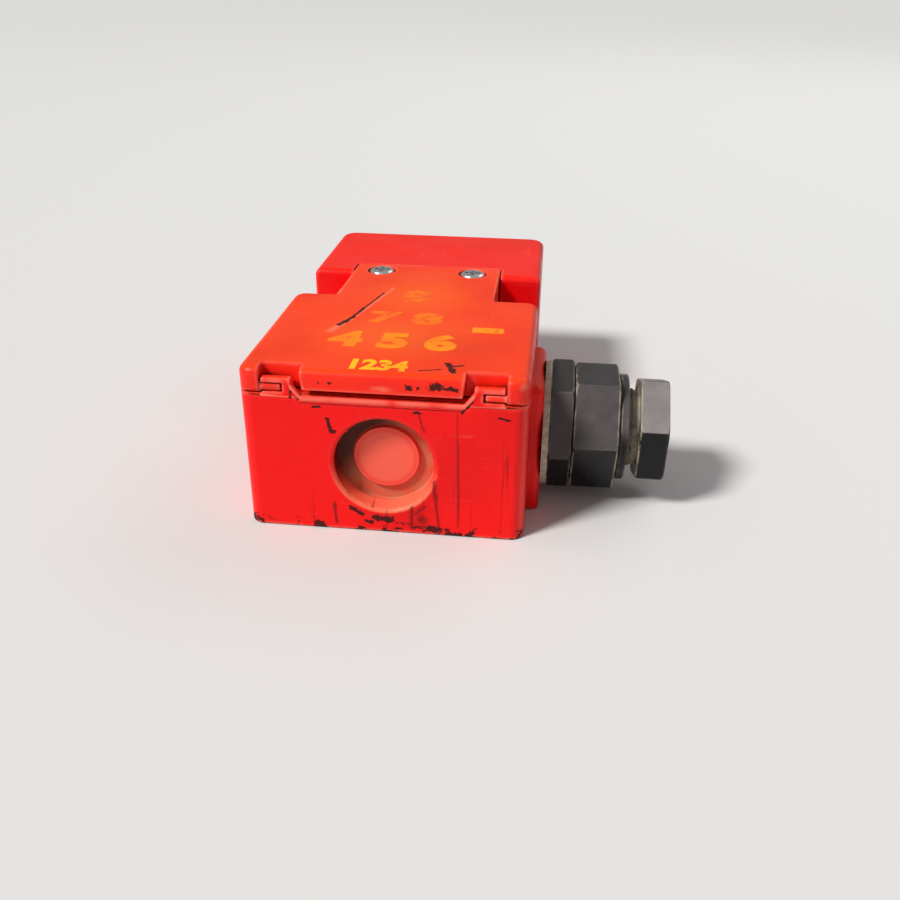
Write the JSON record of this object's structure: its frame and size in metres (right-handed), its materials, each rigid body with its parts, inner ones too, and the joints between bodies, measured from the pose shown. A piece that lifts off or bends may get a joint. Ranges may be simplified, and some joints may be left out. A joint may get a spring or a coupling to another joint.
{
  "type": "guard interlock safety switch",
  "caption": "Flat red plastic key-operated safety switch with a hinged lid, a head behind mounting notches and a black cable gland.",
  "frame": {"origin": "midway between the two mounting slots, on the back face", "axes": "+X out of the cable gland, +Y from the wiring space towards the head, +Z away from the mounting face"},
  "size_m": [0.0805, 0.093, 0.0323],
  "materials": {
    "housing_red": "satin moulded, worn",
    "lid_red": "satin moulded, worn",
    "head_red": "satin moulded",
    "black_plastic": "moulded",
    "gland_black": "moulded polyamide",
    "block_plastic": "moulded",
    "white_plastic": "moulded",
    "washer_grey": "dusty sealing washer",
    "seal_rubber": "moulded",
    "zinc_steel": "zinc plated",
    "spring_steel": "drawn",
    "silver_contact": "silver faced",
    "brass": "plain"
  },
  "bodies": {
    "housing": {"base_housing": "housing_red", "lid_screw_inserts": "brass", "contact_block": "block_plastic", "contact_block_screws": "zinc_steel", "fixed_contacts": "brass", "terminal_screws": "zinc_steel", "plunger_bush": "brass", "plunger_seal": "seal_rubber", "return_spring": "spring_steel", "head_housing": "head_red", "head_gasket": "seal_rubber", "head_screws": "zinc_steel", "head_base_plate": "black_plastic", "head_plate_screws": "zinc_steel", "cam_cradle": "black_plastic", "cam_cradle_screws": "zinc_steel", "cam_shaft": "spring_steel", "shaft_clips": "spring_steel", "gland_washer": "washer_grey", "gland_adapter": "gland_black", "gland_body": "gland_black", "gland_seal": "seal_rubber", "gland_thrust_washer": "zinc_steel"},
    "lid": {"lid": "lid_red", "lid_gasket": "seal_rubber", "lid_screws": "zinc_steel"},
    "plunger": {"plunger": "spring_steel", "contact_carrier": "white_plastic", "contact_bridges": "silver_contact", "bridge_springs": "spring_steel"},
    "cam": {"key_cam": "zinc_steel"},
    "pressure_screw": {"gland_pressure_screw": "gland_black"}
  },
  "joints": [
    {"name": "lid_hinge", "type": "hinge", "parent": "housing", "child": "lid", "pos_m": [0, -0.0497, 0.0284], "axis": [1, 0, 0], "range_deg": [0, 95]},
    {"name": "cam_turn", "type": "hinge", "parent": "housing", "child": "cam", "pos_m": [0, 0.027, 0.014], "axis": [1, 0, 0], "range_deg": [0, 60]},
    {"name": "plunger_slide", "type": "slide", "parent": "housing", "child": "plunger", "axis": [0, 1, 0], "range_m": [0, 0.0025]},
    {"name": "pressure_screw_turn", "type": "hinge", "parent": "housing", "child": "pressure_screw", "pos_m": [0.047, -0.0284, 0.014], "axis": [1, 0, 0], "range_deg": [0, 345]}
  ],
  "couplings": [
    {"joint": "plunger_slide", "follows": "cam_turn", "m_per_rad": 0.0023873}
  ]
}
